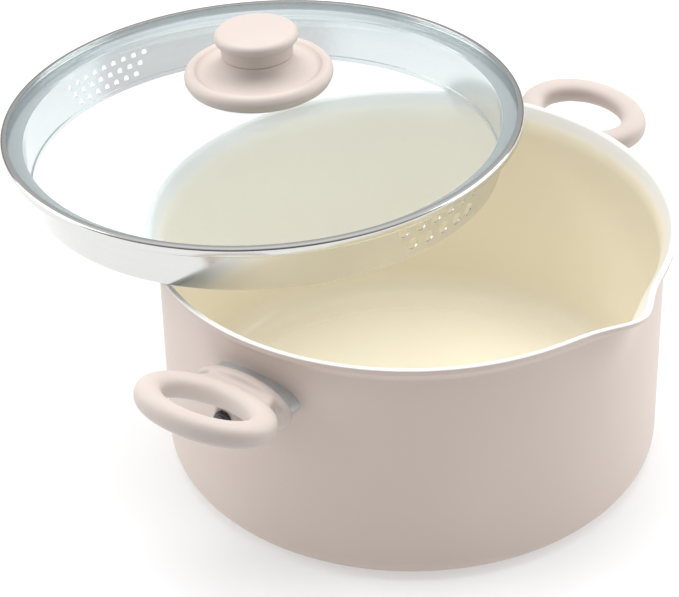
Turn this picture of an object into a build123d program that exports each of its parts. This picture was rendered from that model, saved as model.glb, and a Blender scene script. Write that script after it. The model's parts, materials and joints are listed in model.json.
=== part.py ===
"""Two-handled saucepan with a pouring spout and a straining glass lid, in millimetres.

Origin: centre of the flat base, +Z up. The handles stand on -X and +X. The spout is on -Y, a few degrees
round from square to the handles.
The lid is set back from the spout and rests ajar on the rim, leaning down a little at the back.
"""
from build123d import *
import os

# Saucepan
POT_HEIGHT = 122.5
WALL_R = 120.0          # outside of the straight wall
RIM_R = 125.0           # outside of the lip
LIP_T = 3.0
WALL_T = 2.1            # pressed aluminium
FLOOR_T = 3.6
COAT_T = 0.4            # ceramic lining, inside and over the lip
CORNER_R = 12.0         # outside corner of the base
FLOOR_FILLET_R = 15.0   # inside corner
SUNK_R = 100.0          # the middle of the floor is pressed a little lower
SUNK_DEPTH = 0.4
MOUTH_DEPTH = 10.0      # how far below the rim the inside starts to open out
MOUTH_OPENS = 3.0       # and how much wider it gets

# Pouring spout: a round groove pushed out through the wall, deepest at the rim
SPOUT_REACH = 134.3     # lip of the spout, from the pot's axis
SPOUT_R = 30.0
SPOUT_BLEND = 26.0      # hollow corner between the lip and the spout
SPOUT_TURN = -3.6       # degrees round from -Y
SPOUT_OPENS = 2.0       # extra radius of the groove at the rim
SPOUT_DEPTH = 34.0      # how far down the wall it starts

# Side handles, drawn on +X and copied to -X. The loop leans up and away from the flange.
LOOP_TILT = 14.6        # degrees
PIVOT_X = 126.0         # where the loop's middle plane meets the flange
PIVOT_Z = 96.9
LOOP_ASIDE = 2.4        # the loop sits this far round from the middle of the flange
LOOP_CENTRE = 30.8      # out from the pivot, along the tilted plane
LOOP_A = 35.5           # half of the loop's width, along Y
LOOP_B = 23.4           # half of its reach
HOLE_CENTRE = 30.7
HOLE_A = 22.6
HOLE_B = 12.8
LOOP_H = 11.4
LOOP_ROUND = 5.0
HOLE_ROUND = 3.0
NECK_A = 22.0           # the web from the flange to the loop, half width at the flange
NECK_WIDE = 25.0        # and where it runs into the loop
NECK_B = 5.0            # half its thickness
NECK_REACH = 24.0
FLANGE_X = 125.5        # back of the moulded flange
FLANGE_T = 4.5
FLANGE_Z = 93.4
FLANGE_A = 27.0
FLANGE_B = 12.8
PAD_X = 141.0           # the pad under the loop that the screw bears on
PAD_R = 6.5
GUARD_Z = 93.0
GUARD_A = 24.0          # steel flame guard, half width at the flange
GUARD_B = 10.6
GUARD_T = 1.0
GUARD_TAPER = -1.0      # it changes by this much towards the wall
GUARD_SINK = 6.0        # the round wall falls away this far behind the guard's ends
BOSS_R = 4.2
SCREW_Z = 89.6
SCREW_R = 2.5
SCREW_HEAD_R = 4.4
SCREW_HEAD_H = 2.6
WASHER_T = 0.8
THREAD_DEPTH = 4.0      # how far the screw goes into its boss

# Lid, drawn level about its own axis: z = 0 is the plane of the glass's edge
BEAD_R = 127.0
BEAD_H = 5.2
SHEET_T = 0.6
BEAD_LIP = 3.2          # how far the bead folds in over the glass
SKIRT_TOP_R = 117.0     # outside of the skirt
SKIRT_BOTTOM_R = 115.3
SKIRT_DEPTH = 26.2
HEM_H = 2.5
GLASS_T = 4.0
GLASS_DOME_H = 21.5     # top of the glass over its edge plane
GLASS_FLAT_R = 118.5    # the dome starts inside this radius
GLASS_HOLE_R = 5.0
SMALL_HOLE_R = 1.5
SMALL_ROWS = (9, 8, 7)
SMALL_ROW_Z = (-9.4, -14.7, -20.0)
SMALL_PITCH = 3.2       # degrees between neighbours in a row
LARGE_HOLE_R = 3.0
LARGE_ROWS = (6, 5)
LARGE_ROW_Z = (-11.0, -19.2)
LARGE_PITCH = 4.85

# Knob, on the same axis as the lid
SEAL_T = 0.8
UNDER_SEAL_R = 9.0
BASE_R = 36.3
BASE_RIM_H = 6.0
BASE_DISH = 1.6         # how far the face inside the rim lies below it
NECK_R = 17.2
SEAM_Z = 34.8
CAP_R = 20.2
CAP_TOP_Z = 47.2
CAP_EDGE_H = 5.0
INSERT_R = 4.5
INSERT_LEN = 9.0
KNOB_SCREW_R = 2.5
RUNNING = 0.05          # clearance all round the lid's centre screw and insert

# Where the lid rests
LID_SHIFT = (0.0, 88.5)
LID_DROP = 0.6          # the middle of the skirt's bottom hangs this far below the rim
LID_TURN = -5.9         # degrees, about its own axis
LID_LEAN_BACK = 2.0     # degrees


def revolved(*points):
    """A solid of revolution about Z from the closed outline through (radius, height) points."""
    return revolve(Plane.XZ * make_face(Polyline(*points, close=True)), Axis.Z)


def ring(outer, inner, bottom, top):
    """A plain ring about Z."""
    return revolved((inner, bottom), (outer, bottom), (outer, top), (inner, top))


def disc(radius, bottom, top):
    """A plain cylinder on Z, from one height to another."""
    return Pos(0, 0, bottom) * Cylinder(radius, top - bottom, align=(Align.CENTER, Align.CENTER, Align.MIN))


def spout_groove(inset, flare):
    """The leaning round groove of the spout, `inset` inside its outer skin, opening by `flare`."""
    centre_y = -(SPOUT_REACH - SPOUT_R)
    lean = SPOUT_REACH - WALL_R + 1.0
    foot = Plane(origin=(0, centre_y + lean, POT_HEIGHT - SPOUT_DEPTH)) * Circle(SPOUT_R - inset)
    mouth = Plane(origin=(0, centre_y, POT_HEIGHT)) * Circle(SPOUT_R - inset + flare)
    return Rot(0, 0, SPOUT_TURN) * loft([foot.face(), mouth.face()])


def lip_plate():
    """The lip: a flat plate whose outline is a circle with the spout blended into it."""
    plan = Circle(RIM_R) + Pos(0, -(SPOUT_REACH - SPOUT_R)) * Circle(SPOUT_R)
    plate = Pos(0, 0, POT_HEIGHT - LIP_T) * extrude(plan, LIP_T)
    uprights = plate.edges().filter_by(Axis.Z)
    corners = [edge for edge in uprights if edge.center().Y < -SPOUT_REACH / 2]
    return Rot(0, 0, SPOUT_TURN) * fillet(corners, SPOUT_BLEND)


def pot_block():
    """Everything inside the pot's outer skin, lip and spout included."""
    wall = revolved((0, 0), (WALL_R, 0), (WALL_R, POT_HEIGHT), (0, POT_HEIGHT))
    wall = fillet(wall.edges().group_by(Axis.Z)[0], CORNER_R)
    lip_skirt = revolved((0, POT_HEIGHT - 2 * LIP_T), (WALL_R, POT_HEIGHT - 2.2 * LIP_T),
                         (RIM_R - 1, POT_HEIGHT - LIP_T), (0, POT_HEIGHT - LIP_T))
    return wall + spout_groove(WALL_T, 0) + lip_skirt + lip_plate()


def pot_cavity(inset):
    """The space inside the pot, `inset` in from the outer skin."""
    radius = WALL_R - inset
    floor = FLOOR_T + inset - WALL_T
    space = revolved((0, floor), (radius, floor), (radius, POT_HEIGHT), (0, POT_HEIGHT))
    space = fillet(space.edges().group_by(Axis.Z)[0], FLOOR_FILLET_R)
    sunk = disc(SUNK_R - inset, floor - SUNK_DEPTH, floor + 1)
    mouth = revolved((0, POT_HEIGHT - MOUTH_DEPTH), (radius, POT_HEIGHT - MOUTH_DEPTH),
                     (radius + MOUTH_OPENS, POT_HEIGHT), (0, POT_HEIGHT))
    return space + sunk + mouth + spout_groove(WALL_T + inset, SPOUT_OPENS)


def pot_pieces():
    """The pressed aluminium pot and the ceramic lining that covers its inside and lip."""
    block = pot_block()
    lining_outside = pot_cavity(WALL_T) + Pos(0, 0, POT_HEIGHT - COAT_T / 2) * Box(400, 400, COAT_T)
    body = block - lining_outside
    lining = (block & lining_outside) - pot_cavity(WALL_T + COAT_T)
    return {"pot_body": body, "ceramic_lining": lining}


def facing_x(x, z):
    """A drawing plane across X: its own X runs along Y and its own Y runs up."""
    return Plane(origin=(x, 0, z), x_dir=(0, 1, 0), z_dir=(1, 0, 0))


def handle_web():
    """The web that joins the loop to the flange. It ends in the middle of the loop's limb."""
    plan = Polyline((0, -NECK_A), (NECK_REACH, -NECK_WIDE), (NECK_REACH, NECK_WIDE), (0, NECK_A), close=True)
    limb_middle = Pos(LOOP_CENTRE, 0) * Ellipse((LOOP_B + HOLE_B) / 2, (LOOP_A + HOLE_A) / 2)
    return Pos(0, 0, -NECK_B) * extrude(make_face(plan) - limb_middle, 2 * NECK_B)


def handle_grip():
    """The moulded loop, its flange and the pad for the screw."""
    loop_plane = Plane(origin=(LOOP_CENTRE, 0, -LOOP_H / 2))
    loop = fillet(extrude(loop_plane * Ellipse(LOOP_B, LOOP_A), LOOP_H).edges(), LOOP_ROUND)
    hole_plane = Plane(origin=(HOLE_CENTRE, 0, -LOOP_H / 2))
    loop = loop - extrude(hole_plane * Ellipse(HOLE_B, HOLE_A), LOOP_H)
    rims = [edge for edge in loop.edges() if HOLE_A < edge.bounding_box().size.Y < 2 * HOLE_A + 1]
    loop = fillet([edge for edge in rims if edge.bounding_box().size.Z < 0.01], HOLE_ROUND)
    loop = Pos(PIVOT_X, LOOP_ASIDE, PIVOT_Z) * Rot(0, -LOOP_TILT, 0) * (loop + handle_web())
    reach = 2 * LOOP_B
    keep = Pos(FLANGE_X + reach, 0, PIVOT_Z) * Box(2 * reach, 3 * LOOP_A, 8 * LOOP_H)
    flange = extrude(facing_x(FLANGE_X, FLANGE_Z) * Ellipse(FLANGE_A, FLANGE_B), FLANGE_T)
    flange = fillet(flange.edges().group_by(Axis.X)[-1], 2.0)
    pad = extrude(facing_x(FLANGE_X, SCREW_Z) * Circle(PAD_R), PAD_X - FLANGE_X)
    screw_hole = extrude(facing_x(FLANGE_X - 1, SCREW_Z) * Circle(SCREW_R + 0.2), 2 * LOOP_B)
    driver_way = extrude(facing_x(PAD_X, SCREW_Z) * Circle(PAD_R), LOOP_B)
    return (loop & keep) + flange + pad - screw_hole - driver_way


def oval_taper(front_x, inset):
    """The flame guard's oval, from `front_x` in to the pot, growing by its taper on the way."""
    back_x = WALL_R - GUARD_SINK
    front = facing_x(front_x, GUARD_Z) * Ellipse(GUARD_A - inset, GUARD_B - inset)
    back = facing_x(back_x, GUARD_Z) * Ellipse(GUARD_A + GUARD_TAPER - inset, GUARD_B + GUARD_TAPER - inset)
    return loft([back.face(), front.face()])


def flame_guard():
    """The steel collar that keeps the grip off the hot wall: a tube with a flat end plate."""
    outer = oval_taper(FLANGE_X, 0)
    inner = oval_taper(FLANGE_X - GUARD_T, GUARD_T)
    boss_hole = extrude(facing_x(FLANGE_X - 2 * GUARD_T, SCREW_Z) * Circle(SCREW_R + 0.2), 3 * GUARD_T)
    return outer - inner - boss_hole - disc(WALL_R, 0, POT_HEIGHT)


def weld_boss():
    """The threaded steel boss welded to the wall behind the flame guard."""
    depth = FLANGE_X - GUARD_T - WALL_R + 2
    boss = extrude(facing_x(FLANGE_X - GUARD_T, SCREW_Z) * Circle(BOSS_R), -depth)
    thread = extrude(facing_x(FLANGE_X - GUARD_T, SCREW_Z) * Circle(SCREW_R), -THREAD_DEPTH)
    return boss - thread - disc(WALL_R, 0, POT_HEIGHT)


def handle_screw():
    """The pan-head screw, with a cross recess."""
    seat = PAD_X + WASHER_T
    head = extrude(facing_x(seat, SCREW_Z) * Circle(SCREW_HEAD_R), SCREW_HEAD_H)
    head = fillet(head.edges().group_by(Axis.X)[-1], 1.6)
    shank_end = FLANGE_X - GUARD_T - THREAD_DEPTH
    shank = extrude(facing_x(shank_end, SCREW_Z) * Circle(SCREW_R), seat - shank_end)
    slot = Rectangle(1.0, 5.0) + Rectangle(5.0, 1.0)
    recess = extrude(facing_x(seat + SCREW_HEAD_H - 1.4, SCREW_Z) * slot, 2)
    return head + shank - recess


def lock_washer():
    """The split spring washer under the screw's head."""
    section = Circle(SCREW_HEAD_R - 0.3) - Circle(SCREW_R + 0.1)
    split = Pos(0, SCREW_HEAD_R / 2) * Rectangle(0.8, SCREW_HEAD_R)
    return extrude(facing_x(PAD_X, SCREW_Z) * (section - split), WASHER_T)


def handle_pieces():
    """Both handles. The left one is the right one turned half way round the pot."""
    right = {
        "handle_grip": handle_grip(),
        "flame_guard": flame_guard(),
        "weld_boss": weld_boss(),
        "handle_screw": handle_screw(),
        "lock_washer": lock_washer(),
    }
    pieces = {}
    for name, piece in right.items():
        pieces[f"right_{name}"] = piece
        pieces[f"left_{name}"] = Rot(0, 0, 180) * piece
    return pieces


def skirt_holes(rows, heights, pitch, radius, towards):
    """Round holes through the skirt, in staggered rows centred on the angle `towards`."""
    holes = []
    for count, height in zip(rows, heights):
        for index in range(count):
            angle = towards + pitch * (index - (count - 1) / 2)
            drill = Cylinder(radius, 12, rotation=(0, 90, 0))
            holes.append(Rot(0, 0, angle) * Pos(SKIRT_TOP_R, 0, height) * drill)
    return holes


def lid_band():
    """The steel band: a bead rolled over the glass's edge, a ledge, and the straining skirt."""
    half = BEAD_H / 2
    t = SHEET_T
    bottom = -SKIRT_DEPTH
    band = revolved(
        (BEAD_R - BEAD_LIP, half), (BEAD_R - 1.2, half), (BEAD_R, half - 1.2), (BEAD_R, 1.2 - half),
        (BEAD_R - 1.2, -half), (SKIRT_TOP_R + 1.5, -half), (SKIRT_TOP_R, -half - 1.5),
        (SKIRT_BOTTOM_R, bottom), (SKIRT_BOTTOM_R - 2 * t, bottom), (SKIRT_BOTTOM_R - 2 * t, bottom + HEM_H),
        (SKIRT_BOTTOM_R - t, bottom + HEM_H), (SKIRT_TOP_R - t, -half - 1.2), (SKIRT_TOP_R + 1.2, -half + t),
        (BEAD_R - 1.4, -half + t), (BEAD_R - t, 1.4 - half), (BEAD_R - t, half - 1.4),
        (BEAD_R - 1.4, half - t), (BEAD_R - BEAD_LIP, half - t))
    small = skirt_holes(SMALL_ROWS, SMALL_ROW_Z, SMALL_PITCH, SMALL_HOLE_R, 90)
    large = skirt_holes(LARGE_ROWS, LARGE_ROW_Z, LARGE_PITCH, LARGE_HOLE_R, -90)
    return band - small - large


def dome(offset):
    """A ball whose top is the glass's outer face moved out by `offset`."""
    rise = GLASS_DOME_H - GLASS_T / 2
    outer_r = (GLASS_FLAT_R ** 2 + rise ** 2) / (2 * rise)
    return Pos(0, 0, GLASS_DOME_H - outer_r) * Sphere(outer_r + offset)


def lid_glass():
    """The toughened glass: an even dome with a flat edge that sits in the bead."""
    edge = GLASS_T / 2
    rim_r = BEAD_R - SHEET_T - 0.2
    shell = (dome(0) - dome(-GLASS_T)) & disc(GLASS_FLAT_R, -edge, GLASS_DOME_H)
    rim = revolved((GLASS_FLAT_R - edge, -edge), (rim_r - edge / 2, -edge), (rim_r, -edge / 3),
                   (rim_r, edge / 3), (rim_r - edge / 2, edge), (GLASS_FLAT_R - edge, edge))
    return shell + rim - disc(GLASS_HOLE_R, 0, 2 * GLASS_DOME_H)


def knob_pieces():
    """The knob, its base, the seals either side of the glass and the screw that holds them."""
    base_z = GLASS_DOME_H + SEAL_T
    rim_top = base_z + BASE_RIM_H
    face = rim_top - BASE_DISH
    shank_r = KNOB_SCREW_R + RUNNING
    base = revolved(
        (shank_r, 0), (BASE_R - 1.4, 0), (BASE_R - 1.4, base_z), (BASE_R, base_z + 2.4),
        (BASE_R - 0.8, rim_top - 1.4), (BASE_R - 3.2, rim_top), (BASE_R - 5.8, rim_top - 0.6),
        (BASE_R - 7.6, face), (NECK_R + 8.5, face + 0.3), (NECK_R + 4.4, face + 1.3),
        (NECK_R + 1.6, face + 3.4), (NECK_R + 0.3, face + 6.0), (NECK_R, SEAM_Z), (shank_r, SEAM_Z)) - dome(SEAL_T)
    seal = (dome(SEAL_T) - dome(0)) & ring(BASE_R - 3, GLASS_HOLE_R, 0, base_z)
    insert_top = SEAM_Z + INSERT_LEN
    cap_foot = CAP_TOP_Z - CAP_EDGE_H
    grip = revolved(
        (0, SEAM_Z), (NECK_R, SEAM_Z), (NECK_R + 0.3, cap_foot - 0.6), (NECK_R + 0.9, cap_foot),
        (CAP_R - 1.3, cap_foot), (CAP_R - 0.3, cap_foot + 1.0), (CAP_R, CAP_TOP_Z - 2.6),
        (CAP_R - 0.8, CAP_TOP_Z - 1.1), (CAP_R - 2.6, CAP_TOP_Z - 0.2), (CAP_R - 5.0, CAP_TOP_Z), (0, CAP_TOP_Z))
    grip = grip - disc(INSERT_R + RUNNING, SEAM_Z, insert_top + RUNNING)
    insert = ring(INSERT_R, KNOB_SCREW_R, SEAM_Z + RUNNING, insert_top)
    under = GLASS_DOME_H - GLASS_T
    head_z = under - 2 * SEAL_T - WASHER_T
    head_foot = head_z - SCREW_HEAD_H
    screw = disc(KNOB_SCREW_R, head_foot, insert_top) + disc(SCREW_HEAD_R, head_foot, head_z - RUNNING)
    slot = Rectangle(1.0, 5.0) + Rectangle(5.0, 1.0)
    screw = screw - Pos(0, 0, head_foot) * extrude(slot, 1.4)
    return {
        "knob_grip": grip,
        "knob_base": base,
        "knob_seal": seal,
        "glass_bush": ring(GLASS_HOLE_R, shank_r, under, GLASS_DOME_H) & dome(0),
        "under_seal": ring(UNDER_SEAL_R, shank_r, under - 2 * SEAL_T, under) & dome(-GLASS_T),
        "knob_washer": ring(UNDER_SEAL_R - 1, shank_r, head_z, head_z + WASHER_T),
        "knob_insert": insert,
        "knob_screw": screw,
    }


def lid_pieces():
    """Every piece of the lid, moved from its own level axis to where the lid rests."""
    level = {"lid_glass": lid_glass(), "lid_band": lid_band(), **knob_pieces()}
    height = POT_HEIGHT + SKIRT_DEPTH - LID_DROP
    resting = Pos(LID_SHIFT[0], LID_SHIFT[1], height) * Rot(-LID_LEAN_BACK, 0, 0) * Rot(0, 0, LID_TURN)
    return {name: resting * piece for name, piece in level.items()}


def main():
    os.makedirs("parts", exist_ok=True)
    for name, piece in {**pot_pieces(), **handle_pieces(), **lid_pieces()}.items():
        export_step(piece, f"parts/{name}.step")
        print(name, round(piece.volume, 1))


main()
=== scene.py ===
# %% [markdown]
# # A saucepan with a pouring spout and a glass straining lid
# The pot stands at the origin on its flat base, with its two loop handles on -X and +X and the
# spout close to -Y. The lid is set back from the spout and rests ajar on the rim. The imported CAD
# model gives every place and size. This lesson models the parts that are seen again as smooth
# meshes and gives every piece its finish. It starts by loading the CAD model.

# %% Load the frame
import bpy
import json
from math import atan2, cos, degrees, exp, pi, radians, sin, sqrt
from mathutils import Matrix, Vector


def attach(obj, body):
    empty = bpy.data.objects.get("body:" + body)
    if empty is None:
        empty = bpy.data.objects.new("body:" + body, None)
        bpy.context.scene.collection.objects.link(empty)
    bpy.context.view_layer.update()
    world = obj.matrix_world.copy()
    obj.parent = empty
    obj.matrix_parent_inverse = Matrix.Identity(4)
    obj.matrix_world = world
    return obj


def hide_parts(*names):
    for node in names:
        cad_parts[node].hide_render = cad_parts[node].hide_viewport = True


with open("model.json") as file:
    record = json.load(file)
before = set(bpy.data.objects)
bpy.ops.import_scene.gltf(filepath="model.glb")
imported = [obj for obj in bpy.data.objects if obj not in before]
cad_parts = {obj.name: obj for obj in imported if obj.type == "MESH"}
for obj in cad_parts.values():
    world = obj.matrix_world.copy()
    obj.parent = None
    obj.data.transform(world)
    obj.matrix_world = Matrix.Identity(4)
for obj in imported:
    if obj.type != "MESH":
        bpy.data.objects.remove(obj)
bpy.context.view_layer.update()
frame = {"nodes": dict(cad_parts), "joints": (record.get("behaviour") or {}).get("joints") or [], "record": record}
nodes = frame["nodes"]
scene = bpy.context.scene
MM = 0.001

# %% [markdown]
# Nearly every part of a pan is turned or pressed, so most meshes here are spun like clay on a
# wheel. The outline is drawn as a chain of corners: one vertex, extruded from corner to corner.
# Beveling a corner vertex rounds it. Then the outline is spun round Z and its ends are merged.
# A real maker would draw the same outline for a press tool.

# %% Helpers for selecting, and for spinning an outline
SAME_PLACE = 1e-7        # metres, for corners that are the same point
LEVEL = 1e-6             # metres, for edges that lie in one plane


def select_only(obj):
    """Makes obj the one selected and active object."""
    bpy.ops.object.select_all(action="DESELECT")
    obj.select_set(True)
    bpy.context.view_layer.objects.active = obj


def pick(obj, mode, wanted):
    """Selects the vertices, edges or faces of obj whose middle `wanted` says yes to; enters edit mode."""
    select_only(obj)
    bpy.ops.object.mode_set(mode="EDIT")
    bpy.ops.mesh.select_mode(type=mode)
    bpy.ops.mesh.select_all(action="DESELECT")
    bpy.ops.object.mode_set(mode="OBJECT")
    mesh = obj.data
    if mode == "VERT":
        for v in mesh.vertices:
            v.select = wanted(v.co)
    elif mode == "EDGE":
        for e in mesh.edges:
            a, b = (mesh.vertices[i].co for i in e.vertices)
            e.select = wanted(a, b)
    else:
        for p in mesh.polygons:
            p.select = wanted(p.center, p.normal)
    bpy.ops.object.mode_set(mode="EDIT")


def edit_all(obj):
    """Enters edit mode with everything selected."""
    select_only(obj)
    bpy.ops.object.mode_set(mode="EDIT")
    bpy.ops.mesh.select_mode(type="VERT")
    bpy.ops.mesh.select_all(action="SELECT")


def done():
    """Back to object mode."""
    bpy.ops.object.mode_set(mode="OBJECT")


def close_up(obj, near=0.002 * MM):
    """Merges doubles and turns every face outwards."""
    edit_all(obj)
    bpy.ops.mesh.remove_doubles(threshold=near)
    bpy.ops.mesh.normals_make_consistent(inside=False)
    done()


def smooth(obj, angle=38):
    """Smooth shading, with edges sharper than `angle` degrees kept crisp."""
    select_only(obj)
    bpy.ops.object.shade_smooth_by_angle(angle=radians(angle))


def place(obj, matrix):
    """Moves the mesh itself, so that the object stays at the origin."""
    obj.data.transform(matrix)
    obj.data.update()


def apply(obj, kind, **settings):
    """Adds a modifier and applies it at once."""
    select_only(obj)
    mod = obj.modifiers.new(kind.lower(), kind)
    for key, value in settings.items():
        setattr(mod, key, value)
    bpy.ops.object.modifier_apply(modifier=mod.name)


def spun(name, corners, steps=160, segments=6):
    """A ring or pot from closed (radius, height, rounding) corners in mm, spun round Z."""
    bpy.ops.object.select_all(action="DESELECT")
    bpy.ops.mesh.primitive_plane_add(size=MM)
    obj = bpy.context.object
    obj.name = obj.data.name = name
    edit_all(obj)
    bpy.ops.mesh.merge(type="CENTER")
    places = [Vector((r * MM, 0, z * MM)) for r, z, _ in corners]
    bpy.ops.transform.translate(value=places[0])
    for here, after in zip(places, places[1:]):
        bpy.ops.mesh.extrude_region_move(TRANSFORM_OT_translate={"value": after - here})
    ends = (places[0], places[-1])
    done()
    pick(obj, "VERT", lambda co: any((co - end).length < SAME_PLACE for end in ends))
    bpy.ops.mesh.edge_face_add()
    done()
    for (r, z, rounding), at in zip(corners, places):
        if rounding:
            pick(obj, "VERT", lambda co: (co - at).length < SAME_PLACE)
            bpy.ops.mesh.bevel(affect="VERTICES", offset=rounding * MM, segments=segments)
            done()
    edit_all(obj)
    bpy.ops.mesh.spin(steps=steps, angle=2 * pi, center=(0, 0, 0), axis=(0, 0, 1))
    done()
    close_up(obj)
    return obj


def finished(obj, body, slot, *stands_for):
    """Rides the piece on its body and hides the CAD nodes it stands for; its finish `slot` is not used."""
    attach(obj, body)
    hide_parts(*stands_for)
    print(obj.name, len(obj.data.polygons), "faces")


# %% [markdown]
# Materials are built from nodes. Writing node links by hand hides the sums, so one small class
# wraps a socket: adding sockets, multiplying them or raising one to a power makes the Math nodes.
# Colours are mixed with Mix nodes because a Math node would turn them grey. A second class holds
# a node tree and adds any node to it, and the background at the end uses it too.

# %% A socket that can be used in sums
class Wire:
    """A shader socket that takes part in Python expressions."""

    def __init__(self, kit, socket):
        self.kit, self.socket = kit, socket

    def sum_with(self, kind, first, second):
        return self.kit.node("ShaderNodeMath", {"operation": kind}, {0: first, 1: second})

    def __add__(self, other):
        return self.sum_with("ADD", self, other)

    def __mul__(self, other):
        return self.sum_with("MULTIPLY", self, other)

    def __pow__(self, other):
        return self.sum_with("POWER", self, other)

    __radd__ = __add__
    __rmul__ = __mul__


class Nodes:
    """A node tree, and a way to add any node to it."""

    def __init__(self, tree):
        self.tree = tree

    def node(self, kind, settings, inputs, out=0):
        """Adds a node, sets it, fills or links its inputs and returns one output."""
        made = self.tree.nodes.new(kind)
        for key, value in settings.items():
            if key == "stops":
                self.set_stops(made.color_ramp.elements, value)
            else:
                setattr(made, key, value)
        for key, value in inputs.items():
            if isinstance(value, Wire):
                self.tree.links.new(value.socket, made.inputs[key])
            else:
                made.inputs[key].default_value = value
        return Wire(self, made.outputs[out])

    def set_stops(self, elements, stops):
        """Gives a ramp its stops: a new ramp has the first and last, the others are added."""
        for at, _ in stops[1:-1]:
            elements.new(at)
        for element, (at, colour) in zip(elements, stops):
            element.position, element.color = at, colour


class Kit(Nodes):
    """A new material with its Principled shader."""

    def __init__(self, name, **constants):
        self.material = bpy.data.materials.new(name)
        self.material.use_nodes = True
        super().__init__(self.material.node_tree)
        self.shader = self.tree.nodes["Principled BSDF"]
        self.output = self.tree.nodes["Material Output"]
        for key, value in constants.items():
            self.shader.inputs[key.replace("_", " ")].default_value = value
        self.coords = self.node("ShaderNodeTexCoord", {}, {}, "Object")

    def feed(self, key, value):
        """Links a wire to an input of the Principled shader."""
        self.tree.links.new(value.socket, self.shader.inputs[key])

    def stretched(self, scale, centre=(0, 0, 0)):
        """Object coordinates centred on a point, times a scale for each axis."""
        moved = self.node("ShaderNodeVectorMath", {"operation": "SUBTRACT"}, {0: self.coords, 1: centre})
        return self.node("ShaderNodeVectorMath", {"operation": "MULTIPLY"}, {0: moved, 1: scale})

    def noise(self, scale, detail=3.0, where=None):
        """A noise value from 0 to 1."""
        inputs = {"Vector": where or self.coords, "Scale": scale, "Detail": detail}
        return self.node("ShaderNodeTexNoise", {}, inputs)

    def mix(self, factor, first, second):
        """A colour between two colours."""
        inputs = {0: factor, 6: first, 7: second}
        return self.node("ShaderNodeMix", {"data_type": "RGBA"}, inputs, 2)

    def step(self, value, low, high):
        """0 below low, 1 above high, smooth between."""
        settings = {"interpolation_type": "SMOOTHSTEP"}
        return self.node("ShaderNodeMapRange", settings, {0: value, 1: low, 2: high})

    def bump(self, height, strength, distance):
        """Feeds a height in as a surface bump."""
        inputs = {"Strength": strength, "Distance": distance, "Height": height}
        self.feed("Normal", self.node("ShaderNodeBump", {}, inputs))


# %% [markdown]
# The enamel outside the pot is matt and nearly even. A real sprayed coat has a faint orange
# peel, a slight drift of tone, and it is a little darker where hands and the hob touch it. Two
# sizes of noise give that. The moulded handles share its colour with a softer, finer surface.

# %% Enamel and moulded plastic
ENAMEL = (0.665, 0.568, 0.512, 1)
ENAMEL_DEEP = (0.640, 0.543, 0.487, 1)
MOULDED = (0.580, 0.510, 0.470, 1)
MOULDED_DEEP = (0.555, 0.486, 0.447, 1)


def enamel():
    """Matt sprayed enamel with a faint orange peel."""
    kit = Kit("enamel", Roughness=0.46)
    drift = kit.noise(9, 2)
    peel = kit.noise(900, 2)
    kit.feed("Base Color", kit.mix(kit.step(drift, 0.3, 0.75), ENAMEL_DEEP, ENAMEL))
    kit.feed("Roughness", 0.42 + peel * 0.10)
    kit.bump(peel, 0.06, 0.0002)
    return kit.material


def moulded(name, grain):
    """Soft-touch plastic; `grain` is how fine its surface is."""
    kit = Kit(name, Roughness=0.5)
    drift = kit.noise(24, 2)
    fine = kit.noise(grain, 3)
    kit.feed("Base Color", kit.mix(kit.step(drift, 0.3, 0.7), MOULDED_DEEP, MOULDED))
    kit.feed("Roughness", 0.44 + fine * 0.14)
    kit.bump(fine, 0.10, 0.0002)
    return kit.material


# %% [markdown]
# Inside, the pot has a cream ceramic coating. It is glossier than the enamel, and its colour turns
# nearly white over the flared lip, close to the rim. Height above the base drives that change. The
# coat has the small unevenness of a sprayed and fired layer.

# %% Ceramic lining
POT_HEIGHT = 122.5
CREAM = (0.915, 0.850, 0.700, 1)
CREAM_PALE = (0.920, 0.860, 0.725, 1)
LIP_WHITE = (0.790, 0.785, 0.765, 1)
WHITENS_FROM, WHITE_FROM = 8.5, 3.0    # mm below the rim


def ceramic():
    """Cream inside, white over the lip."""
    kit = Kit("ceramic", Roughness=0.3, Coat_Weight=0.25, Coat_Roughness=0.12)
    height = kit.node("ShaderNodeSeparateXYZ", {}, {0: kit.coords}, 2)
    drift = kit.noise(14, 2)
    fired = kit.noise(260, 3)
    inside = kit.mix(kit.step(drift, 0.3, 0.7), CREAM, CREAM_PALE)
    lip = kit.step(height, (POT_HEIGHT - WHITENS_FROM) * MM, (POT_HEIGHT - WHITE_FROM) * MM)
    kit.feed("Base Color", kit.mix(lip, inside, LIP_WHITE))
    kit.feed("Roughness", 0.26 + fired * 0.10)
    kit.bump(fired, 0.05, 0.0002)
    return kit.material


# %% [markdown]
# The flame guards are brushed stainless steel with a cold grey tint, the grain running round
# them. The lid's band is polished: it has a soft mirror's sheen, and its turning lines are only a
# faint change of tone and roughness, with no relief. The screws are plated dark and the hidden
# fittings are plain turned metal.

# %% Metals and silicone
def steel(name, colour, roughness, lines, depth, contrast=0.86):
    """Metal with fine lines; `lines` is how tightly the grain repeats along X, Y and Z."""
    kit = Kit(name, Metallic=1.0, Roughness=roughness)
    grain = kit.noise(1.0, 4, kit.stretched(lines))
    cloud = kit.noise(60, 2)
    dark = tuple(c * contrast for c in colour[:3]) + (1,)
    kit.feed("Base Color", kit.mix(kit.step(grain, 0.35, 0.7), dark, colour))
    kit.feed("Roughness", roughness * 0.8 + grain * roughness * 0.5 + cloud * 0.03)
    if depth:
        kit.bump(grain, depth, 0.0001)
    return kit.material


def silicone():
    """Milky rubber that lets a little light through."""
    kit = Kit("silicone", Roughness=0.45, IOR=1.41, Transmission_Weight=0.35)
    specks = kit.noise(500, 3)
    kit.feed("Base Color", kit.mix(specks, (0.74, 0.73, 0.70, 1), (0.82, 0.81, 0.79, 1)))
    kit.feed("Roughness", 0.40 + specks * 0.12)
    return kit.material


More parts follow.
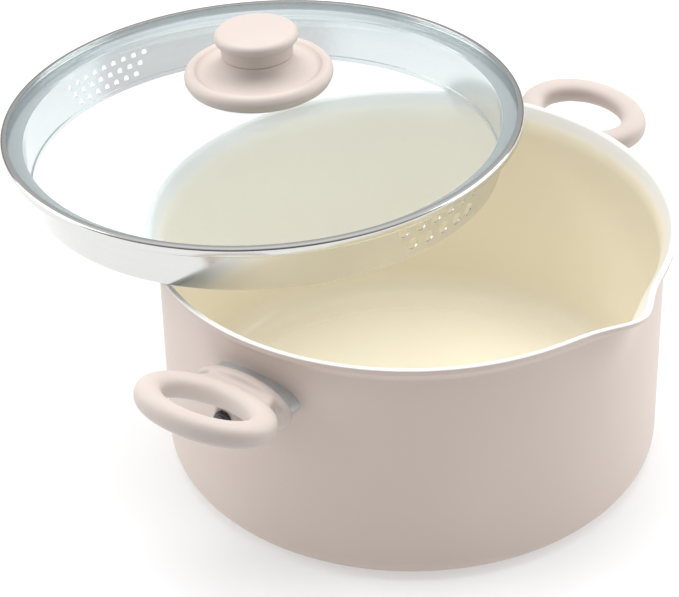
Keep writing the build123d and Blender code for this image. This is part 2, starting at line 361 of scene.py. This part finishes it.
# %% [markdown]
# The lid's glass is very clear. A full glass shader bends the view through a thin dome hardly at
# all but makes dark, noisy shadows, so the sheet is made as a see-through shader with a thin pale
# gloss laid over it. A small share of gloss is there from every side, like a veil: it stands in
# for the soft ceiling that real glass would reflect. The rest grows at grazing angles by the fifth
# power, as on real glass. A wipe of faint haze varies the gloss's roughness.

# %% Clear glass
GLASS_TINT = (0.972, 0.985, 0.985, 1)
GLOSS_TINT = (0.80, 0.90, 0.95, 1)
VEIL = 0.13
GRAZING_GLOSS = 0.8


def clear_glass():
    """See-through glass under a thin veil of gloss."""
    kit = Kit("clear_glass", Metallic=0.30, Roughness=0.03, Base_Color=GLOSS_TINT)
    wipe = kit.noise(18, 3)
    kit.feed("Roughness", 0.015 + wipe * 0.03)
    facing = kit.node("ShaderNodeLayerWeight", {}, {"Blend": 0.5}, "Facing")
    clear = kit.node("ShaderNodeBsdfTransparent", {}, {"Color": GLASS_TINT})
    gloss = Wire(kit, kit.shader.outputs[0])
    share = facing ** 5 * GRAZING_GLOSS + VEIL
    both = kit.node("ShaderNodeMixShader", {}, {0: share, 1: clear, 2: gloss})
    kit.tree.links.new(both.socket, kit.output.inputs["Surface"])
    return kit.material


FINISH = {
    "painted_body": enamel(),
    "ceramic_coating": ceramic(),
    "soft_touch": moulded("soft_touch", 1100),
    "guard_steel": steel("guard_steel", (0.68, 0.735, 0.78, 1), 0.40, (60, 60, 3200), 0.20, 0.92),
    "fastener_steel": steel("fastener_steel", (0.10, 0.10, 0.105, 1), 0.24, (900, 900, 900), 0.12),
    "clear_glass": clear_glass(),
    "polished_band": steel("polished_band", (0.67, 0.675, 0.66, 1), 0.15, (8, 8, 500), 0.0, 0.985),
    "silicone": silicone(),
    "insert_brass": steel("insert_brass", (0.78, 0.58, 0.28, 1), 0.26, (300, 300, 1800), 0.15),
}


def dress(obj, slot):
    """Gives obj one finish and nothing else."""
    obj.data.materials.clear()
    obj.data.materials.append(FINISH[slot])


print("finishes:", ", ".join(FINISH))

# %% [markdown]
# The pot is pressed from one disc of aluminium: a straight wall, a rounded corner at the base
# and a lip that flares out. It is spun as one closed section. The pouring spout is a bulge
# pressed outwards at the rim that fades out down the wall, so a Displace modifier pushes the
# wall out by a weight that is full at the spout's nose and fades sideways and downwards. The
# middle of the floor is pressed a little lower, which leaves a fine ring round it.

# %% Pot shell
WALL_R = 120.0
RIM_R = 125.0
LIP_T = 2.7
INNER_R = 117.5
FLOOR_Z = 4.0
SUNK_R, SUNK_DEPTH, SUNK_SLOPE = 99.6, 0.4, 0.6
BASE_ROUND, FLOOR_ROUND = 12.0, 15.0
SPOUT_TURN = -3.6
SPOUT_REACH = 9.4
SPOUT_HALF_TURN = 8.0
SPOUT_DEPTH = 40.0
SPOUT_ENDS = 60          # degrees to either side
SPOUT_KEEPS_R = 90       # nothing nearer the middle moves
SPOUT_FADE = 1.6         # how fast it fades down the wall


def spout_weight(co):
    """How much of the spout's push a point takes, from 0 to 1."""
    turn = degrees(atan2(co.x, -co.y))
    down = (POT_HEIGHT - co.z / MM) / SPOUT_DEPTH
    if down > 1 or abs(turn) > SPOUT_ENDS or Vector(co.xy).length < SPOUT_KEEPS_R * MM:
        return 0.0
    return exp(-(turn / SPOUT_HALF_TURN) ** 2) * (1 - max(0.0, down)) ** SPOUT_FADE


def press_spout(obj):
    """Pushes the spout out on -Y, then turns the mesh to the spout's real place."""
    group = obj.vertex_groups.new(name="spout")
    for v in obj.data.vertices:
        weight = spout_weight(v.co)
        if weight > 0.001:
            group.add([v.index], weight, "REPLACE")
    apply(obj, "DISPLACE", direction="Y", mid_level=0.0, strength=-SPOUT_REACH * MM, vertex_group="spout")
    obj.vertex_groups.clear()
    place(obj, Matrix.Rotation(radians(SPOUT_TURN), 4, "Z"))


WALL_STEPS = [(WALL_R, z, 0) for z in (16, 30, 60, 78, 84, 88, 92, 96, 100, 104, 108, 111)]
INNER_STEPS = [(INNER_R, z, 0) for z in (109, 105, 101, 97, 93, 88, 82, 74, 50, 24)]
pot_shell = spun("pot_shell", [(0, 0, 0), (60, 0, 0), (WALL_R, 0, BASE_ROUND)] + WALL_STEPS + [
    (WALL_R, POT_HEIGHT - 7.2, 2.0), (RIM_R - 1.0, POT_HEIGHT - LIP_T - 0.5, 1.2),
    (RIM_R, POT_HEIGHT - LIP_T, 0.4), (RIM_R, POT_HEIGHT, 0.7), (RIM_R - 2.4, POT_HEIGHT, 1.2),
    (INNER_R, POT_HEIGHT - 9.5, 4.0)] + INNER_STEPS + [
    (INNER_R, FLOOR_Z, FLOOR_ROUND), (SUNK_R, FLOOR_Z, 0.4),
    (SUNK_R - SUNK_SLOPE, FLOOR_Z - SUNK_DEPTH, 0.3),
    (60, FLOOR_Z - SUNK_DEPTH, 0), (0, FLOOR_Z - SUNK_DEPTH, 0)], steps=320, segments=8)
lining_source = pot_shell.data.copy()
press_spout(pot_shell)
smooth(pot_shell)
dress(pot_shell, "painted_body")
finished(pot_shell, "pot", "painted_body", "pot_body")

# %% [markdown]
# The ceramic lining covers the inside and wraps over the lip. The inside faces of the same spun
# shape are kept and the rest is deleted, so it fits everywhere, spout included. Solidify gives
# it a coat's thickness, a little of it proud of the metal and the rest sunk in.

# %% Ceramic lining
COAT_T = 0.4
COAT_PROUD = 0.12


def is_outside(middle, normal):
    """True for the faces that the coat leaves bare."""
    outer = Vector(middle.xy).length > (RIM_R - 0.3) * MM
    return normal.z < -0.05 or (outer and normal.z < 0.35) or (
        normal.x * middle.x + normal.y * middle.y > 0 and normal.z < 0.35)


lining = bpy.data.objects.new("pot_lining", lining_source)
scene.collection.objects.link(lining)
pick(lining, "FACE", lambda middle, normal: is_outside(middle, normal) or middle.z < 2 * MM)
bpy.ops.mesh.delete(type="FACE")
done()
press_spout(lining)
apply(lining, "SOLIDIFY", thickness=COAT_T * MM, offset=2 * COAT_PROUD / COAT_T - 1, use_rim=True)
smooth(lining)
dress(lining, "ceramic_coating")
finished(lining, "pot", "ceramic_coating", "ceramic_lining")

# %% [markdown]
# Each handle is one moulding: an oval ring that leans up from the pot, an oval flange behind it
# and a flat web that joins them, with a pad for the screw underneath. The ring starts as a torus,
# whose round limb is squared off a little and laid round the oval. The web is a cube that widens
# towards the ring, and the flange and the pad are cylinders. Joined and voxel-remeshed they
# become one skin, and smoothing softens the inside corners as a mould's fillets do.

# %% Handle grips
LOOP_TILT = 14.6
LOOP_ASIDE = 2.4
PIVOT = Vector((126.0, LOOP_ASIDE, 96.9))
LOOP_CENTRE = 30.8
LOOP_A, LOOP_B, LOOP_H = 35.5, 23.4, 11.4
LOOP_SQUARE = 0.80       # 1 leaves the limb round, less makes it squarer
TORUS_LIMB = 0.25        # of the torus that the ring starts as, whose own radius is 1
HOLE_A, HOLE_B = 22.6, 12.8
FLANGE_X, FLANGE_T, FLANGE_Z, FLANGE_A, FLANGE_B = 125.5, 4.5, 93.4, 27.0, 12.8
NECK_A, NECK_WIDE, NECK_B, NECK_REACH = 16.5, 25.0, 4.6, 24.0
WEB_ROUND, HOLLOW_H = 2.0, 18.0
PAD_X, PAD_R, SCREW_Z, SCREW_R = 141.0, 6.5, 89.6, 2.5
SCREW_GAP, PAD_WALL = 0.25, 0.6
SKIN_VOXEL, SKIN_SMOOTHING = 0.75, 6
LEAN = Matrix.Translation(PIVOT * MM) @ Matrix.Rotation(-radians(LOOP_TILT), 4, "Y")


def oval_bar(name, start_x, length, half_y, half_z, centre, rounding=0.0):
    """An oval cylinder along X from start_x, with its front edge rounded, all in mm."""
    bpy.ops.object.select_all(action="DESELECT")
    bpy.ops.mesh.primitive_cylinder_add(vertices=96, radius=MM, depth=length * MM, rotation=(0, pi / 2, 0))
    bar = bpy.context.object
    bar.name = name
    bpy.ops.object.transform_apply(location=True, rotation=True)
    place(bar, Matrix.Diagonal((1, half_y, half_z, 1)))
    place(bar, Matrix.Translation(Vector((start_x + length / 2, centre[0], centre[1])) * MM))
    if rounding:
        front = (start_x + length) * MM
        pick(bar, "EDGE", lambda a, b: min(a.x, b.x) > front - LEVEL)
        bpy.ops.mesh.bevel(offset=rounding * MM, segments=5)
        done()
    return bar


def squared(offset):
    """A torus limb's offset as a share of its radius, pushed outwards to square the limb."""
    return abs(offset / TORUS_LIMB) ** LOOP_SQUARE * (1 if offset > 0 else -1)


def oval_loop():
    """The ring: a torus with a squared limb, a little wider at the sides than at the ends."""
    limb = (LOOP_B - HOLE_B) / 2
    side = (LOOP_A - HOLE_A) / 2
    bpy.ops.object.select_all(action="DESELECT")
    bpy.ops.mesh.primitive_torus_add(
        major_radius=1.0, minor_radius=TORUS_LIMB, major_segments=160, minor_segments=40)
    loop = bpy.context.object
    for v in loop.data.vertices:
        turn = atan2(v.co.y, v.co.x)
        out = squared(Vector(v.co.xy).length - 1.0)
        rise = squared(v.co.z)
        mid_x = (LOOP_B + HOLE_B) / 2 * cos(turn)
        mid_y = (LOOP_A + HOLE_A) / 2 * sin(turn)
        half = sqrt((limb * cos(turn)) ** 2 + (side * sin(turn)) ** 2)
        steer = Vector((cos(turn) / LOOP_B, sin(turn) / LOOP_A)).normalized()
        v.co.x = (LOOP_CENTRE + mid_x + steer.x * out * half) * MM
        v.co.y = (mid_y + steer.y * out * half) * MM
        v.co.z = rise * LOOP_H / 2 * MM
    place(loop, LEAN)
    return loop


def web():
    """The web behind the ring: a plate that widens outwards, hollowed to the middle of the limb."""
    bpy.ops.object.select_all(action="DESELECT")
    bpy.ops.mesh.primitive_cube_add(size=1)
    plate = bpy.context.object
    place(plate, Matrix.Translation((NECK_REACH / 2 * MM, 0, 0)) @ Matrix.Diagonal(
        (NECK_REACH * MM, 2 * NECK_A * MM, 2 * NECK_B * MM, 1)))
    pick(plate, "VERT", lambda co: co.x > NECK_REACH * MM / 2)
    bpy.ops.transform.resize(value=(1, NECK_WIDE / NECK_A, 1))
    done()
    pick(plate, "EDGE", lambda a, b: abs(a.z - b.z) < LEVEL)
    bpy.ops.mesh.bevel(offset=WEB_ROUND * MM, segments=4)
    done()
    middle_y, middle_x = (LOOP_A + HOLE_A) / 2, (LOOP_B + HOLE_B) / 2
    hollow = oval_bar("hollow", -HOLLOW_H / 2, HOLLOW_H, middle_y, middle_x, (0, 0))
    place(hollow, Matrix.Translation((LOOP_CENTRE * MM, 0, 0)) @ Matrix.Rotation(pi / 2, 4, "Y"))
    apply(plate, "BOOLEAN", operation="DIFFERENCE", object=hollow, solver="EXACT")
    bpy.data.objects.remove(hollow)
    place(plate, LEAN)
    return plate


def grip_right():
    """The whole right grip as one skin."""
    loop = oval_loop()
    neck = web()
    flange = oval_bar("flange", FLANGE_X, FLANGE_T, FLANGE_A, FLANGE_B, (0, FLANGE_Z), 1.6)
    pad = oval_bar("pad", FLANGE_X, PAD_X - FLANGE_X, PAD_R, PAD_R, (0, SCREW_Z), 0.8)
    select_only(loop)
    for other in (neck, flange, pad):
        other.select_set(True)
    bpy.ops.object.join()
    apply(loop, "REMESH", mode="VOXEL", voxel_size=SKIN_VOXEL * MM, use_smooth_shade=True)
    apply(loop, "SMOOTH", factor=0.5, iterations=SKIN_SMOOTHING)
    bore, recess = SCREW_R + SCREW_GAP, PAD_R - PAD_WALL
    drill = oval_bar("drill", FLANGE_X - 2, 60, bore, bore, (0, SCREW_Z))
    drill_head = oval_bar("drill_head", PAD_X, 40, recess, recess, (0, SCREW_Z))
    for tool in (drill, drill_head):
        apply(loop, "BOOLEAN", operation="DIFFERENCE", object=tool, solver="EXACT")
        bpy.data.objects.remove(tool)
    loop.name = loop.data.name = "right_grip"
    smooth(loop, 40)
    return loop


HALF_TURN = Matrix.Rotation(pi, 4, "Z")


def other_side(obj, name):
    """A copy of a right-hand piece, turned half way round the pot, with its own mesh."""
    copy = obj.copy()
    copy.data = obj.data.copy()
    copy.name = copy.data.name = name
    scene.collection.objects.link(copy)
    place(copy, HALF_TURN)
    return copy


right_grip = grip_right()
dress(right_grip, "soft_touch")
left_grip = other_side(right_grip, "left_grip")
finished(right_grip, "pot", "soft_touch", "right_handle_grip")
finished(left_grip, "pot", "soft_touch", "left_handle_grip")

# %% [markdown]
# Behind each flange a steel collar keeps the flame off the grip. It is an oval tube with an end
# plate, pressed from sheet, and its back edge follows the pot's round wall. A cylinder gives the
# oval, its outer edge is beveled, and a Boolean with a cylinder as wide as the pot cuts its back.

# %% Flame guards
GUARD_Z, GUARD_A, GUARD_B = 93.0, 24.0, 10.6
GUARD_START_X, GUARD_GAP, WALL_BITE, SCREW_ROOM = 113.0, 0.05, 0.1, 2


def guard_right():
    """The right collar, cut to the wall and drilled for the screw."""
    length = FLANGE_X - GUARD_START_X - GUARD_GAP
    guard = oval_bar("right_guard", GUARD_START_X, length, GUARD_A, GUARD_B, (0, GUARD_Z), 1.0)
    bpy.ops.object.select_all(action="DESELECT")
    bpy.ops.mesh.primitive_cylinder_add(vertices=512, radius=(WALL_R - WALL_BITE) * MM, depth=0.3)
    cutter = bpy.context.object
    apply(guard, "BOOLEAN", operation="DIFFERENCE", object=cutter, solver="EXACT")
    bpy.data.objects.remove(cutter)
    bore = SCREW_R + SCREW_ROOM
    hole = oval_bar("hole", 110, 20, bore, bore, (0, SCREW_Z))
    apply(guard, "BOOLEAN", operation="DIFFERENCE", object=hole, solver="EXACT")
    bpy.data.objects.remove(hole)
    smooth(guard, 30)
    return guard


right_guard = guard_right()
dress(right_guard, "guard_steel")
left_guard = other_side(right_guard, "left_guard")
finished(right_guard, "pot", "guard_steel", "right_flame_guard")
finished(left_guard, "pot", "guard_steel", "left_flame_guard")

# %% [markdown]
# Everything on the lid is modelled level, round its own axis, and then set on the pot by the
# lid's joint: its place and axis in the record say where the middle is and how it leans.

# %% Where the lid rests
turning = next(j for j in frame["joints"] if j["name"] == "lid_turn")
LID_CENTRE = Vector(turning["pos_m"])
LID_AXIS = Vector(turning["axis"])
LID_TURN = -5.9
lean = Vector((0, 0, 1)).rotation_difference(LID_AXIS).to_matrix().to_4x4()
RESTING = Matrix.Translation(LID_CENTRE) @ lean @ Matrix.Rotation(radians(LID_TURN), 4, "Z")
print("lid centre", [round(v, 4) for v in LID_CENTRE], "axis", [round(v, 4) for v in LID_AXIS])

# %% [markdown]
# The band is one strip of steel: a bead rolled over the glass, a ledge, and the straining skirt
# with a hem at its lower edge. It is spun as a thin closed outline. The holes are drilled by a
# Boolean with cylinders that point at the axis: small ones on one side, large ones opposite.

# %% Lid band
BEAD_R, BEAD_HALF, SHEET_T, BEAD_LIP = 127.0, 2.6, 0.6, 3.2
SKIRT_TOP_R, SKIRT_BOTTOM_R, SKIRT_DEPTH, HEM_H = 117.0, 115.3, 26.2, 2.5
SKIRT_STEP, SKIRT_STEP_Z = 0.2, -5.6
# radius, degrees apart, degrees round, then how many in each row and its height
SMALL_HOLES = (1.5, 3.2, 90, ((9, -9.4), (8, -14.7), (7, -20.0)))
LARGE_HOLES = (3.0, 4.85, -90, ((6, -11.0), (5, -19.2)))


def drills(radius, pitch, towards, rows):
    """One mesh of all the drills of a group of straining holes."""
    made = []
    for count, height in rows:
        for index in range(count):
            turn = radians(towards + pitch * (index - (count - 1) / 2))
            bpy.ops.object.select_all(action="DESELECT")
            bpy.ops.mesh.primitive_cylinder_add(
                vertices=32, radius=radius * MM, depth=12 * MM, rotation=(0, pi / 2, turn),
                location=(SKIRT_TOP_R * MM * cos(turn), SKIRT_TOP_R * MM * sin(turn), height * MM))
            made.append(bpy.context.object)
    select_only(made[0])
    for drill in made[1:]:
        drill.select_set(True)
    bpy.ops.object.join()
    bpy.ops.object.transform_apply(location=True, rotation=True)
    return made[0]


half, sheet = BEAD_HALF, SHEET_T
lid_band = spun("straining_band", [
    (BEAD_R - BEAD_LIP, half, 0.2), (BEAD_R, half, 1.6), (BEAD_R, -half, 1.6),
    (SKIRT_TOP_R, -half, 1.6), (SKIRT_TOP_R - SKIRT_STEP, SKIRT_STEP_Z, 0),
    (SKIRT_BOTTOM_R, -SKIRT_DEPTH, 0.25), (SKIRT_BOTTOM_R - 2 * sheet, -SKIRT_DEPTH, 0.25),
    (SKIRT_BOTTOM_R - 2 * sheet, HEM_H - SKIRT_DEPTH, 0.1),
    (SKIRT_BOTTOM_R - sheet, HEM_H - SKIRT_DEPTH, 0),
    (SKIRT_TOP_R - SKIRT_STEP - sheet, SKIRT_STEP_Z, 0), (SKIRT_TOP_R - sheet, sheet - half, 1.0),
    (BEAD_R - sheet, sheet - half, 1.0), (BEAD_R - sheet, half - sheet, 1.0),
    (BEAD_R - BEAD_LIP, half - sheet, 0.1)], steps=320)
for group in (SMALL_HOLES, LARGE_HOLES):
    drill = drills(*group)
    apply(lid_band, "BOOLEAN", operation="DIFFERENCE", object=drill, solver="EXACT")
    bpy.data.objects.remove(drill)
smooth(lid_band, 32)
place(lid_band, RESTING)
dress(lid_band, "polished_band")
finished(lid_band, "lid", "polished_band", "lid_band")

# %% [markdown]
# The glass is an even dome with a flat rim that the bead grips. A dome is a part of a ball, so
# its outline's points are worked out from the ball's radius. A hole in the middle takes the
# knob's screw.

# %% Lid glass
GLASS_T, GLASS_DOME_H, GLASS_FLAT_R, GLASS_HOLE_R = 4.0, 21.5, 118.5, 5.0
BULGE = GLASS_DOME_H - GLASS_T / 2
BALL_R = (GLASS_FLAT_R ** 2 + BULGE ** 2) / (2 * BULGE)


def dome_z(radius, offset=0.0):
    """Height of the glass's outer face, moved out by offset, at a radius, in mm."""
    return GLASS_DOME_H - BALL_R + sqrt((BALL_R + offset) ** 2 - radius ** 2)


radii = [GLASS_HOLE_R + (GLASS_FLAT_R - GLASS_HOLE_R) * k / 24 for k in range(25)]
outer = [(r, dome_z(r), 0) for r in radii]
inner = [(r, dome_z(r, -GLASS_T), 0) for r in reversed(radii[:-1])]
rim = [(BEAD_R - 1.6, GLASS_T / 2 - 0.1, 0.4), (BEAD_R - 1.6, 0.1 - GLASS_T / 2, 0.4)]
glass = spun("lid_dome", outer + rim + inner, steps=200)
smooth(glass, 30)
place(glass, RESTING)
dress(glass, "clear_glass")
finished(glass, "lid", "clear_glass", "lid_glass")

# %% [markdown]
# The knob is two mouldings with a thin seam between them: a dished base with a raised round rim
# that sweeps up into a neck, and a mushroom cap. Both are spun, and the rounding of each corner
# makes the sweep.

# %% Knob
SEAL_T = 0.8
BASE_R, BASE_RIM_H, BASE_DISH = 36.3, 6.0, 1.6
NECK_R, SEAM_Z, CAP_R, CAP_TOP_Z, CAP_EDGE_H = 17.2, 34.8, 20.2, 47.2, 5.0
BORE_R, INSERT_R, INSERT_LEN = 2.55, 4.55, 9.05
SEAM_GAP = 0.15
base_z = GLASS_DOME_H + SEAL_T
rim_z = base_z + BASE_RIM_H
face_z = rim_z - BASE_DISH
cap_edge_z = CAP_TOP_Z - CAP_EDGE_H
under = [(r, dome_z(r, SEAL_T), 0) for r in (30, 24, 18, 12, 6, BORE_R)]
knob_base = spun("knob_foot", [
    (BORE_R, SEAM_Z, 0), (NECK_R, SEAM_Z, 0.4), (NECK_R + 0.1, face_z + 5.6, 0.8),
    (NECK_R + 1.6, face_z + 2.8, 1.4), (NECK_R + 4.6, face_z + 0.9, 1.6),
    (NECK_R + 9.0, face_z, 2.0), (BASE_R - 7.0, face_z, 1.6), (BASE_R - 5.2, rim_z, 1.8),
    (BASE_R - 1.6, rim_z, 2.6), (BASE_R, base_z + 1.8, 1.5),
    (BASE_R - 1.8, dome_z(BASE_R - 1.8, SEAL_T), 0.4)] + under, steps=160)
knob_cap = spun("knob_cap", [
    (0, SEAM_Z + INSERT_LEN, 0), (INSERT_R, SEAM_Z + INSERT_LEN, 0),
    (INSERT_R, SEAM_Z + SEAM_GAP, 0), (NECK_R, SEAM_Z + SEAM_GAP, 0.4),
    (NECK_R + 0.4, cap_edge_z, 0.8), (CAP_R - 0.1, cap_edge_z, 1.3),
    (CAP_R, CAP_TOP_Z - 0.15, 2.7), (CAP_R - 7.5, CAP_TOP_Z, 2.0), (0, CAP_TOP_Z, 0)], steps=160)
for piece, node in ((knob_base, "knob_base"), (knob_cap, "knob_grip")):
    smooth(piece, 50)
    place(piece, RESTING)
    dress(piece, "soft_touch")
    finished(piece, "lid", "soft_touch", node)

# %% [markdown]
# The small fittings keep their CAD shapes, which are exact: screws, washers, bosses and seals.
# They only need a finish each, and the record says which slot each one has.

# %% Fittings that keep their CAD shape
slots = {part["node"]: part["material_slot"] for part in frame["record"]["subparts"]}
for name, obj in nodes.items():
    if not obj.hide_render:
        dress(obj, slots[name])
        print(name, slots[name])

# %% [markdown]
# The pan stands on a plain floor that runs out of the camera's view. The floor is mid grey and
# glows a little by itself: it looks pale, but throws less light up at the pot than white would.
# The background is dark at the horizon and bright overhead, and is dimmed on the side where the
# camera stands. Two wide soft lights stand left and right of the camera's line, a little behind
# the pan. They brighten its sides and leave the middle of the wall in softer light. A third hangs
# overhead and is hidden from reflections, where it would leave a hard crescent on the lid.

# %% Floor and lights
FLOOR_GREY = (0.52, 0.52, 0.525, 1)
FLOOR_GLOW = 0.42
bpy.ops.object.select_all(action="DESELECT")
bpy.ops.mesh.primitive_plane_add(size=12)
floor = bpy.context.object
floor.name = "floor"
floor_kit = Kit("floor", Roughness=0.9, Base_Color=FLOOR_GREY, Emission_Strength=FLOOR_GLOW)
floor_kit.shader.inputs["Emission Color"].default_value = (1, 1, 1, 1)
floor.data.materials.append(floor_kit.material)

FRONT = (-0.81, -0.587, 0)
DIM_FROM, DIM_TO, DIMMEST = 0.2, 0.95, 0.30
GLOW_BY_HEIGHT = ((0.02, 0.03), (0.30, 0.42), (1.0, 0.95))
world = bpy.data.worlds.new("studio")
world.use_nodes = True
sky = Nodes(world.node_tree)
heading_to = sky.node("ShaderNodeTexCoord", {}, {}, "Generated")
frontness = sky.node(
    "ShaderNodeVectorMath", {"operation": "DOT_PRODUCT"}, {0: heading_to, 1: FRONT}, "Value")
shade = sky.node(
    "ShaderNodeMapRange", {"interpolation_type": "SMOOTHSTEP"},
    {0: frontness, 1: DIM_FROM, 2: DIM_TO, 3: 1.0, 4: DIMMEST})
height = sky.node("ShaderNodeSeparateXYZ", {}, {0: heading_to}, "Z")
stops = [(at, (glow, glow, glow, 1)) for at, glow in GLOW_BY_HEIGHT]
glow = sky.node("ShaderNodeValToRGB", {"stops": stops}, {0: height})
background = world.node_tree.nodes["Background"]
background.inputs["Color"].default_value = (1, 1, 1, 1)
sky.tree.links.new((glow * shade).socket, background.inputs["Strength"])
scene.world = world

VIEW_TURN = 52.0
AIM = Vector((0, 0.03, 0.08))


def soft_light(name, turn, elevation, distance, size, power):
    """A square soft light, `turn` degrees to the right of the camera's line, aimed at the pan."""
    heading = radians(-90 - VIEW_TURN + turn)
    flat = cos(radians(elevation)) * distance
    place_at = AIM + Vector((cos(heading) * flat, sin(heading) * flat, sin(radians(elevation)) * distance))
    data = bpy.data.lights.new(name, "AREA")
    data.shape, data.size, data.energy = "SQUARE", size, power
    light = bpy.data.objects.new(name, data)
    light.location = place_at
    light.rotation_euler = (AIM - place_at).to_track_quat("-Z", "Y").to_euler()
    scene.collection.objects.link(light)
    return light


soft_light("left_window", -100, 22, 1.9, 1.4, 16)
soft_light("right_window", 100, 22, 1.9, 1.4, 16)
soft_light("overhead", 180, 80, 2.0, 1.6, 38).visible_glossy = False

# %% [markdown]
# The camera stands well back with a long lens, looking down at the pan. It is tipped by one and
# a half degrees.

# %% Camera
VIEW_DOWN = 33.70
VIEW_TIP = -1.52
EYE = Vector((-0.7811, -0.5664, 0.7207))
LENS = 127.3
turn, down, tip = radians(VIEW_TURN), radians(VIEW_DOWN), radians(VIEW_TIP)
ahead = Vector((sin(turn) * cos(down), cos(turn) * cos(down), -sin(down)))
level = Vector((cos(turn), -sin(turn), 0))
upright = level.cross(ahead)
right = level * cos(tip) + upright * sin(tip)
up = upright * cos(tip) - level * sin(tip)
camera_data = bpy.data.cameras.new("camera")
camera_data.lens = LENS
camera_data.sensor_width = 36
camera = bpy.data.objects.new("camera", camera_data)
facing = Matrix((right, up, -ahead)).transposed().to_4x4()
camera.matrix_world = Matrix.Translation(EYE) @ facing
scene.collection.objects.link(camera)
scene.camera = camera
scene.view_settings.view_transform = "Standard"
print("camera at", [round(v, 3) for v in EYE])
